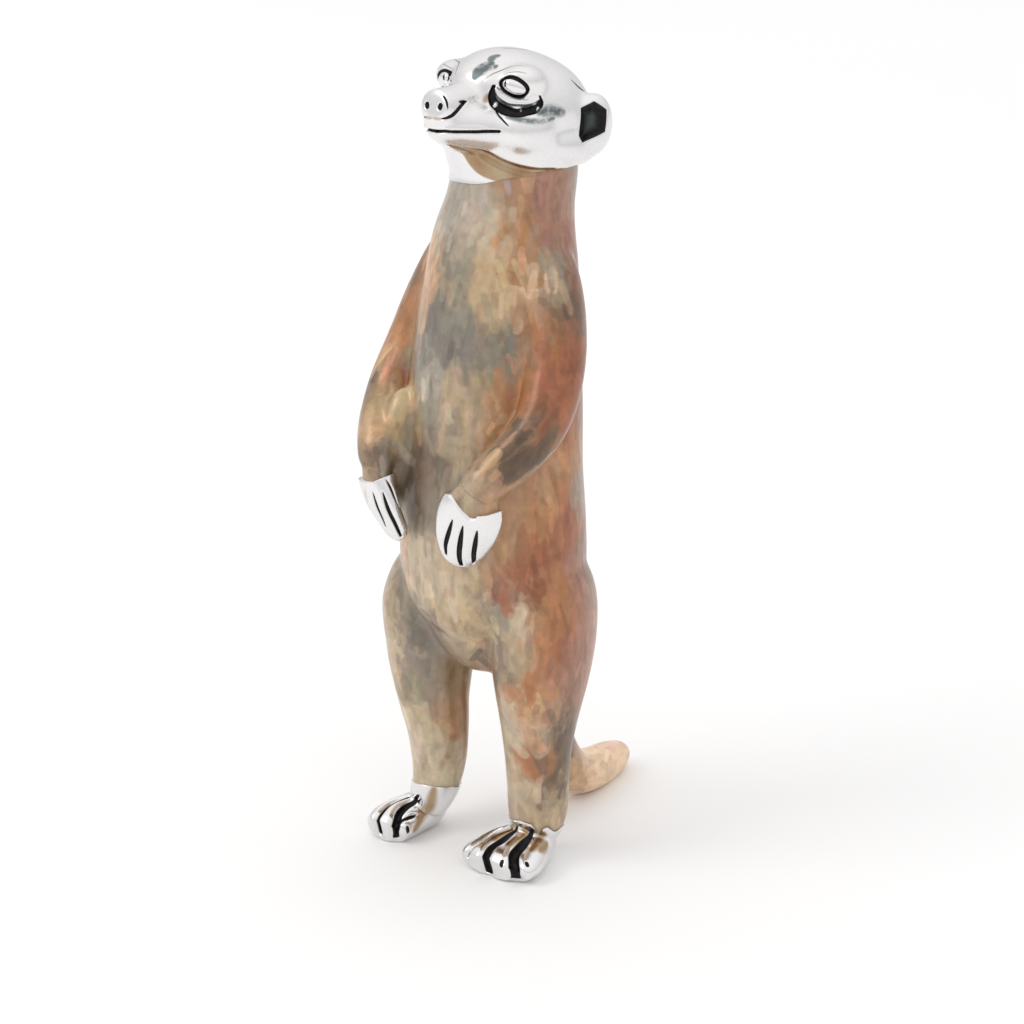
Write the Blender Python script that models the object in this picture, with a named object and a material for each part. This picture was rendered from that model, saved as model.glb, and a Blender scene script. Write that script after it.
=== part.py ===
"""A meerkat figurine: silver head, hands and feet on a body of painted enamel.

The body is lofted whole, smoothed into one skin and then parted with thin cuts
into the named pieces. All sizes are millimetres until `placed` scales them.
The figurine faces -Y, +X is its left hand, and it stands on z = 0.
"""

import math

import bmesh
import bpy
from mathutils import Matrix, Vector

MM = 0.001
GAP = 0.3               # left open between neighbouring pieces
VOXEL = 0.45            # grain of the skin drawn round the lofts
BLEND_STEPS = 8         # how far the joints between lofts are rounded
SKIN_TRIANGLES = 3200   # triangles of the whole skin before it is parted
ROOM = 500.0            # edge of the boxes that cut with one flat side

BORDER_HEIGHT = 67.7    # silver collar meets enamel neck
BORDER_TILT = -0.17     # the collar rises toward the left side
NECK_BASE = 59.5
KNEE = 14.0
ANKLE = 4.2

LIMB_MARGIN = 0.5       # a limb's cut runs this far outside its loft
EYE_RADIUS = 1.35
EYE_SPREAD = 3.9        # eye centre from the head's middle plane
EYE_SINK = 0.2          # eye centre behind the head's origin
EYE_LIFT = 0.25         # and above it
EAR_CENTRE = (6.5, 8.4, -2.4)
EAR_RADII = (1.5, 2.3, 3.0)
EAR_CUP_CENTRE = (7.8, 7.8, -2.4)
EAR_CUP_RADII = (1.3, 1.4, 2.1)

HEAD_PLACE = (
    Matrix.Translation((-0.75, -1.4, 76.1))
    @ Matrix.Rotation(math.radians(-5), 4, "Z")
    @ Matrix.Rotation(math.radians(-13), 4, "X")
    @ Matrix.Rotation(math.radians(-4), 4, "Y")
)

# Stations of each loft: x, y, z of the centre, half width, half depth.
TRUNK = [
    (0, 0.3, 20.2, 3.4, 3.2),
    (0, 0.1, 21.4, 5.2, 5.6),
    (0, -0.2, 25.5, 6.9, 7.9),
    (0, -0.6, 29, 8.5, 9.2),
    (0, -0.9, 34, 8.8, 9.2),
    (0, -0.9, 40, 8.5, 8.8),
    (0, -0.5, 46, 8.2, 8.5),
    (0, -0.1, 52, 7.8, 8.0),
    (0, 0.5, 57, 7.3, 7.4),
    (-0.1, 1.1, 61, 6.8, 6.9),
    (0, 1.9, 65, 5.9, 6.2),
    (0.1, 2.4, 68, 5.8, 6.0),
    (-0.1, 2.2, 71, 6.0, 6.3),
    (0, 2.6, 74, 4.8, 5.0),
]
ARM_RIGHT = [
    (-3.9, 1.2, 63.0, 1.3, 1.5),
    (-5.5, 0.6, 59.5, 2.5, 2.8),
    (-6.8, -0.6, 55.0, 3.0, 3.3),
    (-8.0, -2.3, 50.8, 2.8, 3.1),
    (-8.7, -4.8, 47.0, 2.4, 2.8),
    (-7.8, -7.8, 44.2, 2.2, 2.5),
    (-6.6, -9.8, 42.4, 2.0, 2.2),
    (-6.0, -10.4, 41.2, 1.8, 1.9),
]
ARM_LEFT = [
    (3.8, 1.3, 63.0, 1.2, 1.4),
    (5.4, 0.8, 59.5, 2.4, 2.8),
    (6.8, -0.4, 55.0, 2.9, 3.3),
    (8.2, -2.2, 50.8, 2.7, 3.1),
    (8.9, -4.8, 47.0, 2.4, 2.8),
    (7.9, -7.8, 44.0, 2.2, 2.5),
    (6.2, -9.9, 41.8, 2.0, 2.2),
    (5.6, -10.5, 40.6, 1.8, 1.9),
]
HAND_RIGHT = [
    (-6.3, -10.2, 42.2, 1.8, 1.5),
    (-5.9, -11.0, 40.0, 2.1, 1.3),
    (-4.9, -11.2, 37.6, 2.0, 1.1),
    (-3.8, -10.7, 35.2, 1.5, 0.9),
    (-3.3, -10.4, 34.4, 0.8, 0.6),
]
HAND_LEFT = [
    (5.8, -10.0, 41.4, 2.0, 1.5),
    (5.1, -10.5, 39.2, 3.0, 1.4),
    (4.6, -10.8, 36.8, 2.9, 1.2),
    (4.0, -10.6, 34.6, 2.1, 1.0),
    (3.8, -10.3, 33.4, 1.1, 0.6),
]
LEG_RIGHT = [
    (-3.8, 0.6, 32, 3.0, 5.2),
    (-5.1, 0.0, 28, 4.2, 6.9),
    (-6.5, -0.8, 24, 4.5, 6.7),
    (-7.0, -1.6, 19.5, 4.0, 4.9),
    (-6.8, -1.8, 15, 3.4, 3.8),
    (-6.4, -1.7, 11.5, 3.2, 3.1),
    (-6.4, -1.5, 8, 2.9, 2.7),
    (-6.6, -1.7, 5.5, 2.5, 2.4),
    (-7.0, -2.1, 3.6, 2.1, 2.1),
    (-7.4, -2.6, 2.4, 1.6, 1.7),
]
LEG_LEFT = [
    (3.8, 0.6, 32, 3.0, 5.2),
    (5.1, 0.3, 28, 4.4, 7.1),
    (5.6, -0.2, 24, 4.7, 7.1),
    (5.8, -0.8, 19.5, 4.4, 5.8),
    (5.8, -1.2, 15, 3.7, 4.1),
    (5.7, -1.2, 11.5, 3.3, 3.1),
    (5.6, -1.0, 8, 3.1, 2.8),
    (5.5, -0.9, 5.5, 3.0, 2.6),
    (5.3, -1.2, 3.6, 2.6, 2.4),
    (5.2, -2.0, 2.4, 1.9, 1.8),
]
FOOT_RIGHT = [
    (-7.3, 0.0, 2.8, 0.7, 0.9),
    (-7.4, -0.6, 2.5, 1.5, 1.8),
    (-7.8, -1.6, 2.1, 2.0, 2.3),
    (-8.3, -3.2, 1.8, 2.4, 2.15),
    (-8.75, -5.2, 1.6, 2.75, 2.1),
    (-8.9, -6.7, 1.4, 2.65, 1.85),
    (-8.9, -7.6, 1.2, 1.8, 1.3),
]
FOOT_LEFT = [
    (5.2, 0.9, 2.0, 0.8, 1.0),
    (5.2, 0.3, 1.9, 1.9, 1.8),
    (5.1, -1.2, 1.9, 2.8, 2.3),
    (4.9, -3.0, 1.75, 3.8, 2.2),
    (4.7, -5.0, 1.45, 4.5, 1.95),
    (4.6, -6.5, 1.3, 4.3, 1.7),
    (4.6, -7.4, 1.1, 3.1, 1.2),
]
TAIL = [
    (0, 3.0, 26, 2.8, 2.8),
    (0, 4.8, 20, 2.7, 2.7),
    (0, 6.4, 13.5, 2.5, 2.5),
    (0, 8.6, 7.5, 2.4, 2.4),
    (0, 12.0, 3.2, 2.3, 2.3),
    (-0.3, 16.0, 2.0, 2.3, 2.2),
    (-0.8, 19.5, 1.6, 2.0, 1.9),
    (-1.2, 22.0, 1.4, 1.4, 1.3),
    (-1.3, 22.9, 1.4, 0.7, 0.7),
]
# Stations of the skull: distance in front of the eyes, top, bottom, half width.
SKULL = [
    (-11.0, -0.4, -4.2, 2.0),
    (-10.2, 1.2, -6.2, 4.4),
    (-8.0, 2.9, -7.3, 6.4),
    (-5.0, 3.8, -7.2, 6.8),
    (-2.4, 3.8, -6.8, 6.2),
    (-0.4, 2.6, -6.4, 4.9),
    (1.0, 0.9, -6.0, 2.8),
    (1.8, -0.2, -5.4, 1.2),
]
# Stations of the bridge of the nose and of the muzzle under it, in the same terms.
BRIDGE = [
    (-1.0, 1.8, -3.0, 2.3),
    (1.0, 0.8, -3.5, 2.0),
    (3.0, 0.1, -3.8, 1.9),
    (4.8, -0.4, -3.9, 1.9),
    (6.1, -0.6, -3.7, 1.8),
    (6.6, -0.9, -3.4, 1.5),
]
MUZZLE = [
    (-1.0, -0.5, -6.6, 4.9),
    (1.0, -0.9, -6.3, 4.2),
    (3.0, -1.3, -5.9, 3.3),
    (4.8, -1.6, -5.4, 2.3),
    (5.7, -2.2, -4.8, 1.6),
]
# Balls that fill out each side of the head, in its frame: centre and radii.
HEAD_BALLS = {
    "brow": ((4.0, 1.0, 0.8), (2.1, 2.2, 1.6)),
    "cheek": ((3.7, 2.2, -3.6), (2.9, 3.6, 2.6)),
    "jowl": ((4.7, 6.4, -4.6), (2.6, 3.9, 2.1)),
}
# A ball that joins the right forearm to the belly.
WEB = ((-5.6, -7.2, 42.0), (2.2, 2.8, 6.0))
LEG_TURN = 12.0         # knees point this far outward, degrees
HAND_SLANT = 0.1        # rise of the back of the hand, outward over inward
HAND_TURN_RIGHT = 0.15  # how far back the hand's outer edge lies, over its width
HAND_TURN_LEFT = 0.45

SILVER = ((0.80, 0.78, 0.75), 0.16, 1.0)
OXIDE = ((0.035, 0.035, 0.04), 0.45, 0.6)
COAT = ((0.55, 0.36, 0.22), 0.12, 0.0)
CREAM = ((0.62, 0.52, 0.36), 0.12, 0.0)
EYE = ((0.82, 0.80, 0.77), 0.12, 1.0)


def spline(rows, steps):
    """A Catmull-Rom curve through rows of numbers, `steps` rows to a span."""
    first = [2 * a - b for a, b in zip(rows[0], rows[1])]
    last = [2 * b - a for a, b in zip(rows[-2], rows[-1])]
    rows = [first, *rows, last]
    out = []
    for before, start, end, after in zip(rows, rows[1:], rows[2:], rows[3:]):
        for step in range(steps):
            t = step / steps
            out.append([
                0.5 * (2 * q + (r - p) * t
                       + (2 * p - 5 * q + 4 * r - s) * t ** 2
                       + (3 * q - p - 3 * r + s) * t ** 3)
                for p, q, r, s in zip(before, start, end, after)
            ])
    out.append(list(rows[-2]))
    return out


def placed(name, bm, place=None):
    """Turns a bmesh in millimetres into an object in metres."""
    bm.normal_update()
    bmesh.ops.recalc_face_normals(bm, faces=bm.faces)
    mesh = bpy.data.meshes.new(name)
    bm.to_mesh(mesh)
    bm.free()
    scale = Matrix.Scale(MM, 4)
    mesh.transform(scale @ place if place else scale)
    obj = bpy.data.objects.new(name, mesh)
    bpy.context.scene.collection.objects.link(obj)
    return obj


def loft(name, rows, side=(1, 0, 0), grow=0.0, place=None, steps=4, sides=24):
    """A closed tube whose rings stand square to its path; `side` is their width."""
    rows = spline(rows, steps)
    points = [Vector(row[:3]) for row in rows]
    ends = (points[0] - points[1]).normalized(), (points[-1] - points[-2]).normalized()
    bm = bmesh.new()
    rings = []
    for i, row in enumerate(rows):
        along = points[min(i + 1, len(points) - 1)] - points[max(i - 1, 0)]
        along.normalize()
        wide = Vector(side)
        wide = (wide - along * wide.dot(along)).normalized()
        deep = along.cross(wide)
        centre = points[i]
        if i == 0:
            centre = centre + ends[0] * grow
        if i == len(rows) - 1:
            centre = centre + ends[1] * grow
        rings.append([
            bm.verts.new(centre
                         + wide * ((row[3] + grow) * math.cos(2 * math.pi * k / sides))
                         + deep * ((row[4] + grow) * math.sin(2 * math.pi * k / sides)))
            for k in range(sides)
        ])
    for lower, upper in zip(rings, rings[1:]):
        for k in range(sides):
            following = (k + 1) % sides
            bm.faces.new((lower[k], lower[following], upper[following], upper[k]))
    bm.faces.new(rings[0])
    bm.faces.new(rings[-1])
    return placed(name, bm, place)


def ball(name, centre, radii, place=None, grow=0.0):
    """An ellipsoid with its radii along the axes of `place`."""
    bm = bmesh.new()
    bmesh.ops.create_uvsphere(bm, u_segments=16, v_segments=10, radius=1.0)
    sizes = Matrix.Diagonal([radius + grow for radius in radii]).to_4x4()
    bm.transform(Matrix.Translation(centre) @ sizes)
    return placed(name, bm, place)


def half_space(name, point, normal, shift=0.0):
    """A large box: all that lies on the side of a plane that `normal` points to."""
    normal = Vector(normal).normalized()
    turn = Vector((0, 0, 1)).rotation_difference(normal).to_matrix().to_4x4()
    bm = bmesh.new()
    bmesh.ops.create_cube(bm, size=ROOM)
    centre = Vector(point) + normal * (ROOM / 2 + shift)
    bm.transform(Matrix.Translation(centre) @ turn)
    return placed(name, bm)


def applied(obj):
    """Fixes an object's modifiers into its mesh."""
    bpy.context.view_layer.update()
    graph = bpy.context.evaluated_depsgraph_get()
    mesh = bpy.data.meshes.new_from_object(obj.evaluated_get(graph))
    obj.modifiers.clear()
    obj.data = mesh
    return obj


def one_skin(name, forms):
    """Joins overlapping forms, rounds where they meet and thins the triangles."""
    bm = bmesh.new()
    for form in forms:
        bm.from_mesh(form.data)
        bpy.data.objects.remove(form)
    mesh = bpy.data.meshes.new(name)
    bm.to_mesh(mesh)
    bm.free()
    obj = bpy.data.objects.new(name, mesh)
    bpy.context.scene.collection.objects.link(obj)
    remesh = obj.modifiers.new("skin", "REMESH")
    remesh.mode = "VOXEL"
    remesh.voxel_size = VOXEL * MM
    smooth = obj.modifiers.new("blend", "SMOOTH")
    smooth.factor = 0.5
    smooth.iterations = BLEND_STEPS
    applied(obj)
    thin = obj.modifiers.new("thin", "DECIMATE")
    thin.ratio = SKIN_TRIANGLES / (2 * len(obj.data.polygons))
    return applied(obj)


def cut(obj, cutter, operation):
    """Applies one Boolean and removes its cutter."""
    boolean = obj.modifiers.new("cut", "BOOLEAN")
    boolean.operation = operation
    boolean.solver = "EXACT"
    boolean.object = cutter
    applied(obj)
    bpy.data.objects.remove(cutter)


def largest_body(obj):
    """Drops the slivers that a cut can leave loose beside the main body."""
    bm = bmesh.new()
    bm.from_mesh(obj.data)
    waiting = set(bm.faces)
    bodies = []
    while waiting:
        body = [waiting.pop()]
        for face in body:
            near = {other for edge in face.edges for other in edge.link_faces}
            near &= waiting
            waiting -= near
            body.extend(near)
        bodies.append(body)
    bodies.sort(key=lambda body: sum(face.calc_area() for face in body))
    loose = [face for body in bodies[:-1] for face in body]
    bmesh.ops.delete(bm, geom=loose, context="FACES")
    bm.to_mesh(obj.data)
    bm.free()


def part_off(body, name, region, single=True):
    """Cuts a named piece from body: `region(extra)` is a cutter grown by extra."""
    piece = bpy.data.objects.new(name, body.data.copy())
    bpy.context.scene.collection.objects.link(piece)
    cut(piece, region(0.0), "INTERSECT")
    cut(body, region(GAP), "DIFFERENCE")
    if single:
        largest_body(piece)
    return piece


def above(point, normal):
    """A region maker: the half-space that `normal` points into."""
    return lambda extra: half_space("region", point, normal, -extra)


def along(rows, side=(1, 0, 0)):
    """A region maker: a limb's loft with room round it."""
    return lambda extra: loft("region", rows, side, LIMB_MARGIN + extra, steps=1, sides=14)


def leg_side(turn):
    """The way a leg's width points, turned outward from +X."""
    angle = math.radians(turn)
    return (math.cos(angle), math.sin(angle), 0)


def head_rows(stations):
    return [
        (0, -front, (top + bottom) / 2, half, (top - bottom) / 2)
        for front, top, bottom, half in stations
    ]


def body_forms():
    """The overlapping lofts and balls that the skin is drawn round."""
    forms = [
        loft("trunk", TRUNK),
        loft("tail", TAIL),
        loft("skull", head_rows(SKULL), place=HEAD_PLACE),
        loft("bridge", head_rows(BRIDGE), place=HEAD_PLACE),
        loft("muzzle", head_rows(MUZZLE), place=HEAD_PLACE),
        loft("hand", HAND_RIGHT, (1, -HAND_TURN_RIGHT, -HAND_SLANT)),
        loft("hand", HAND_LEFT, (1, HAND_TURN_LEFT, HAND_SLANT)),
        ball("web", *WEB),
        loft("foot", FOOT_RIGHT),
        loft("foot", FOOT_LEFT),
        loft("arm", ARM_RIGHT),
        loft("arm", ARM_LEFT),
        loft("leg", LEG_RIGHT, leg_side(-LEG_TURN)),
        loft("leg", LEG_LEFT, leg_side(LEG_TURN)),
    ]
    for side in (-1, 1):
        for name, ((x, y, z), radii) in HEAD_BALLS.items():
            forms.append(ball(name, (side * x, y, z), radii, HEAD_PLACE))
    return forms


def finish(obj, colour, roughness, metallic):
    """Gives a piece its own material and smooth shading."""
    material = bpy.data.materials.new(obj.name)
    material.use_nodes = True
    shader = material.node_tree.nodes["Principled BSDF"]
    shader.inputs["Base Color"].default_value = (*colour, 1)
    shader.inputs["Roughness"].default_value = roughness
    shader.inputs["Metallic"].default_value = metallic
    obj.data.materials.clear()
    obj.data.materials.append(material)
    obj.data.polygons.foreach_set("material_index", [0] * len(obj.data.polygons))
    obj.data.shade_smooth()
    obj.data.set_sharp_from_angle(angle=math.radians(40))


def part_arm(body, side, arm, hand, wrist, wrist_normal):
    """Parts one arm from the trunk and splits it at the elbow and the wrist."""
    path = arm[:-1] + hand[1:]
    limb = part_off(body, "limb", along(path))
    hand_piece = part_off(limb, f"hand_{side}", above(wrist, wrist_normal))
    elbow = Vector(arm[4][:3])
    forearm = part_off(limb, f"forearm_{side}", above(elbow, (0, -0.6, -0.5)))
    limb.name = f"upper_arm_{side}"
    return hand_piece, forearm, limb


def part_leg(body, legs, side, rows, turn):
    """Parts one thigh from the trunk, and one shank and foot from `legs`."""
    sign = 1 if side == "left" else -1
    thigh = part_off(body, f"thigh_{side}", along(rows, leg_side(turn)))
    lower = part_off(legs, "lower", above((0, 0, 0), (sign, 0, 0)))
    foot = part_off(lower, f"foot_{side}", above((0, 0, ANKLE), (0, 0, -1)))
    lower.name = f"shank_{side}"
    return thigh, lower, foot


def part_face(head):
    """Sets an eye and an ear into each side of the head, with a gap round them."""
    pieces = []
    for side, sign in (("left", 1), ("right", -1)):
        centre = (sign * EYE_SPREAD, EYE_SINK, EYE_LIFT)
        radii = (EYE_RADIUS, EYE_RADIUS, EYE_RADIUS)
        cut(head, ball("socket", centre, radii, HEAD_PLACE, GAP), "DIFFERENCE")
        eye = ball(f"eye_{side}", centre, radii, HEAD_PLACE)

        x, y, z = EAR_CENTRE
        cut(head, ball("pocket", (sign * x, y, z), EAR_RADII, HEAD_PLACE, GAP), "DIFFERENCE")
        ear = ball(f"ear_{side}", (sign * x, y, z), EAR_RADII, HEAD_PLACE)
        x, y, z = EAR_CUP_CENTRE
        cut(ear, ball("cup", (sign * x, y, z), EAR_CUP_RADII, HEAD_PLACE), "DIFFERENCE")
        pieces += [eye, ear]
    return pieces


def centre_on_floor(pieces):
    """Moves every piece so that the whole stands centred on the origin."""
    corners = [vertex.co for piece in pieces for vertex in piece.data.vertices]
    low = [min(corner[axis] for corner in corners) for axis in range(3)]
    high = [max(corner[axis] for corner in corners) for axis in range(3)]
    middle = Vector(((low[0] + high[0]) / 2, (low[1] + high[1]) / 2, low[2]))
    for piece in pieces:
        piece.data.transform(Matrix.Translation(-middle))


def main():
    for obj in list(bpy.data.objects):
        bpy.data.objects.remove(obj)

    body = one_skin("trunk", body_forms())
    cut(body, half_space("floor", (0, 0, 0), (0, 0, -1)), "DIFFERENCE")

    tail = part_off(body, "tail", along(TAIL))
    head = part_off(body, "head", above((0, 0, BORDER_HEIGHT), (BORDER_TILT, 0, 1)))
    neck = part_off(body, "neck", above((0, 0, NECK_BASE), (0, -0.15, 1)))
    arms = [
        *part_arm(body, "right", ARM_RIGHT, HAND_RIGHT, (-5.8, -10.1, 40.4), (0.21, 0.17, -0.96)),
        *part_arm(body, "left", ARM_LEFT, HAND_LEFT, (5.7, -10.4, 38.9), (-0.34, -0.26, -0.9)),
    ]
    lower_legs = part_off(body, "lower_legs", above((0, 0, KNEE), (0, 0, -1)), single=False)
    legs = [
        *part_leg(body, lower_legs, "right", LEG_RIGHT, -LEG_TURN),
        *part_leg(body, lower_legs, "left", LEG_LEFT, LEG_TURN),
    ]
    bpy.data.objects.remove(lower_legs)
    largest_body(body)
    face = part_face(head)

    pieces = [head, neck, body, tail, *arms, *legs, *face]
    centre_on_floor(pieces)
    for piece in pieces:
        kind = piece.name.split("_")[0]
        looks = {"head": SILVER, "hand": SILVER, "foot": SILVER, "ear": SILVER, "eye": EYE}
        finish(piece, *looks.get(kind, CREAM if kind == "tail" else COAT))


main()
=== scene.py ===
"""Looks of the meerkat figurine: carved silver, painted enamel and soft light.

Forms are built in millimetres in the figurine's own frame (-Y front, +X its left,
z = 0 the floor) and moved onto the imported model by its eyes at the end.
"""

import math

import bmesh
import bpy
import numpy as np
from mathutils import Matrix, Vector, kdtree
from mathutils.bvhtree import BVHTree


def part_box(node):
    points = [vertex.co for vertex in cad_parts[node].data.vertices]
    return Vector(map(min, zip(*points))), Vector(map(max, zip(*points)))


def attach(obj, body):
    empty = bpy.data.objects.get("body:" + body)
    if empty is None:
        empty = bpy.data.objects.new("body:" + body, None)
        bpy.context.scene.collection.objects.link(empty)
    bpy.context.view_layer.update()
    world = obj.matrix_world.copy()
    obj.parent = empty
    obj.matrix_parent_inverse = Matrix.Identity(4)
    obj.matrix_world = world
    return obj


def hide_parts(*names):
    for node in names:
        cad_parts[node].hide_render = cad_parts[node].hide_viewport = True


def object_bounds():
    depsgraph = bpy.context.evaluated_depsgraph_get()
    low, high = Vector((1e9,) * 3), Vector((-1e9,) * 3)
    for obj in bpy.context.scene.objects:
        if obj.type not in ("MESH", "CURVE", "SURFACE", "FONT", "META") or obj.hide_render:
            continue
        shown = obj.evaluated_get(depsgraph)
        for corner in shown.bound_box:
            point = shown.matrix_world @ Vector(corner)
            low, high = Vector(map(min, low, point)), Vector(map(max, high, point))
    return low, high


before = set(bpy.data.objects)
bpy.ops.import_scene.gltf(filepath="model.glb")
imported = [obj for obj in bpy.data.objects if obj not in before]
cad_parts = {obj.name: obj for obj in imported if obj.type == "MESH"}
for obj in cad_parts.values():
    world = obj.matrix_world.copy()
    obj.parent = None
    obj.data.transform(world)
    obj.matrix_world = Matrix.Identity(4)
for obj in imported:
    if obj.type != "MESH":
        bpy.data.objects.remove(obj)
CAD_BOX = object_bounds()

MM = 0.001
SHRINK = 0.9995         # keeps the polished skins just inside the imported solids
ENAMEL_VOXEL = 0.17     # grain of the enamel skin
HEAD_VOXEL = 0.09       # grain of the silver skins
HAND_VOXEL = 0.07
FOOT_VOXEL = 0.08
EYE_VOXEL = 0.04
BLEND = 1.2             # rounding where the body's forms meet
HEAD_BLEND = 1.5        # and where those of the silver parts meet
HAND_BLEND = 0.34
FOOT_BLEND = 0.42
LIP = 0.12              # silver stands this far outside the enamel it covers
UNDER_SILVER = 0.35     # the enamel is this much thinner inside the silver
SOFT_EDGE = 0.018       # half the blur at the edge of a black line
LINE_STEP = 0.07        # spacing of the points that a carved line is made of

HEAD_PLACE = (
    Matrix.Translation((-0.75, -1.4, 76.1))
    @ Matrix.Rotation(math.radians(-5), 4, "Z")
    @ Matrix.Rotation(math.radians(-13), 4, "X")
    @ Matrix.Rotation(math.radians(-4), 4, "Y")
)
EYE_CENTRE = (3.9, 0.2, 0.25)   # middle of the left eye's solid, in the head's frame

# Stations of the body's forms: place (x, y, z), half width and half depth.
TRUNK = [
    (0, 0.3, 20.2, 3.4, 3.2),
    (0, 0.1, 21.4, 5.2, 5.6),
    (0, -0.2, 25.5, 6.9, 7.9),
    (0, -0.6, 29, 8.5, 9.2),
    (0, -0.9, 34, 8.8, 9.2),
    (0, -0.9, 40, 8.5, 8.8),
    (0, -0.5, 46, 8.2, 8.5),
    (0, -0.1, 52, 7.8, 8.0),
    (0, 0.5, 57, 7.3, 7.4),
    (-0.1, 1.1, 61, 6.8, 6.9),
    (0, 1.9, 65, 5.9, 6.2),
    (0.1, 2.4, 68, 5.8, 6.0),
    (-0.1, 2.2, 71, 6.0, 6.3),
    (0, 2.6, 74, 4.8, 5.0),
]
ARM_RIGHT = [
    (-3.9, 1.2, 63.0, 1.3, 1.5),
    (-5.5, 0.6, 59.5, 2.5, 2.8),
    (-6.8, -0.6, 55.0, 3.0, 3.3),
    (-8.0, -2.3, 50.8, 2.8, 3.1),
    (-8.7, -4.8, 47.0, 2.4, 2.8),
    (-7.8, -7.8, 44.2, 2.2, 2.5),
    (-6.6, -9.8, 42.4, 2.0, 2.2),
    (-6.0, -10.4, 41.2, 1.8, 1.9),
]
ARM_LEFT = [
    (3.8, 1.3, 63.0, 1.2, 1.4),
    (5.4, 0.8, 59.5, 2.4, 2.8),
    (6.8, -0.4, 55.0, 2.9, 3.3),
    (8.2, -2.2, 50.8, 2.7, 3.1),
    (8.9, -4.8, 47.0, 2.4, 2.8),
    (7.9, -7.8, 44.0, 2.2, 2.5),
    (6.2, -9.9, 41.8, 2.0, 2.2),
    (5.6, -10.5, 40.6, 1.8, 1.9),
]
HAND_RIGHT = [
    (-6.3, -10.2, 42.2, 1.8, 1.5),
    (-5.9, -11.0, 40.0, 2.1, 1.3),
    (-4.9, -11.2, 37.6, 2.0, 1.1),
    (-3.8, -10.7, 35.2, 1.5, 0.9),
    (-3.3, -10.4, 34.4, 0.8, 0.6),
]
HAND_LEFT = [
    (5.8, -10.0, 41.4, 2.0, 1.5),
    (5.1, -10.5, 39.2, 3.0, 1.4),
    (4.6, -10.8, 36.8, 2.9, 1.2),
    (4.0, -10.6, 34.6, 2.1, 1.0),
    (3.8, -10.3, 33.4, 1.1, 0.6),
]
LEG_RIGHT = [
    (-3.8, 0.6, 32, 3.0, 5.2),
    (-5.1, 0.0, 28, 4.2, 6.9),
    (-6.5, -0.8, 24, 4.5, 6.7),
    (-7.0, -1.6, 19.5, 4.0, 4.9),
    (-6.8, -1.8, 15, 3.4, 3.8),
    (-6.4, -1.7, 11.5, 3.2, 3.1),
    (-6.4, -1.5, 8, 2.9, 2.7),
    (-6.6, -1.7, 5.5, 2.5, 2.4),
    (-7.0, -2.1, 3.6, 2.1, 2.1),
    (-7.4, -2.6, 2.4, 1.6, 1.7),
]
LEG_LEFT = [
    (3.8, 0.6, 32, 3.0, 5.2),
    (5.1, 0.3, 28, 4.4, 7.1),
    (5.6, -0.2, 24, 4.7, 7.1),
    (5.8, -0.8, 19.5, 4.4, 5.8),
    (5.8, -1.2, 15, 3.7, 4.1),
    (5.7, -1.2, 11.5, 3.3, 3.1),
    (5.6, -1.0, 8, 3.1, 2.8),
    (5.5, -0.9, 5.5, 3.0, 2.6),
    (5.3, -1.2, 3.6, 2.6, 2.4),
    (5.2, -2.0, 2.4, 1.9, 1.8),
]
FOOT_RIGHT = [
    (-7.3, 0.0, 2.8, 0.7, 0.9),
    (-7.4, -0.6, 2.5, 1.5, 1.8),
    (-7.8, -1.6, 2.1, 2.0, 2.3),
    (-8.3, -3.2, 1.8, 2.4, 2.15),
    (-8.75, -5.2, 1.6, 2.75, 2.1),
    (-8.9, -6.7, 1.4, 2.65, 1.85),
    (-8.9, -7.6, 1.2, 1.8, 1.3),
]
FOOT_LEFT = [
    (5.2, 0.9, 2.0, 0.8, 1.0),
    (5.2, 0.3, 1.9, 1.9, 1.8),
    (5.1, -1.2, 1.9, 2.8, 2.3),
    (4.9, -3.0, 1.75, 3.8, 2.2),
    (4.7, -5.0, 1.45, 4.5, 1.95),
    (4.6, -6.5, 1.3, 4.3, 1.7),
    (4.6, -7.4, 1.1, 3.1, 1.2),
]
TAIL = [
    (0, 3.0, 26, 2.8, 2.8),
    (0, 4.8, 20, 2.7, 2.7),
    (0, 6.4, 13.5, 2.5, 2.5),
    (0, 8.6, 7.5, 2.4, 2.4),
    (0, 12.0, 3.2, 2.3, 2.3),
    (-0.3, 16.0, 2.0, 2.3, 2.2),
    (-0.8, 19.5, 1.6, 2.0, 1.9),
    (-1.2, 22.0, 1.4, 1.4, 1.3),
    (-1.3, 22.9, 1.4, 0.7, 0.7),
]
# Stations of the skull: distance in front of the eyes, top, bottom, half width.
SKULL = [
    (-11.2, -1.6, -3.2, 0.9),
    (-10.95, -0.5, -4.4, 2.4),
    (-10.0, 1.4, -6.3, 4.6),
    (-8.0, 2.9, -7.3, 6.4),
    (-5.0, 3.8, -7.2, 6.8),
    (-2.4, 3.8, -6.8, 6.2),
    (-0.4, 2.6, -6.4, 4.9),
    (1.0, 0.9, -6.0, 2.8),
    (1.8, -0.2, -5.4, 1.2),
]
# Stations of the bridge of the nose and of the muzzle under it, in the same terms.
BRIDGE = [
    (-1.0, 1.8, -3.0, 2.3),
    (1.0, 0.8, -3.5, 2.0),
    (3.0, 0.1, -3.8, 1.9),
    (4.8, -0.4, -3.9, 1.9),
    (6.1, -0.6, -3.7, 1.8),
    (6.6, -0.9, -3.4, 1.5),
]
MUZZLE = [
    (-1.0, -0.5, -6.6, 4.9),
    (1.0, -0.9, -6.3, 4.2),
    (3.0, -1.3, -5.9, 3.3),
    (4.8, -1.6, -5.4, 2.3),
    (5.7, -2.2, -4.8, 1.6),
]
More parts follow.
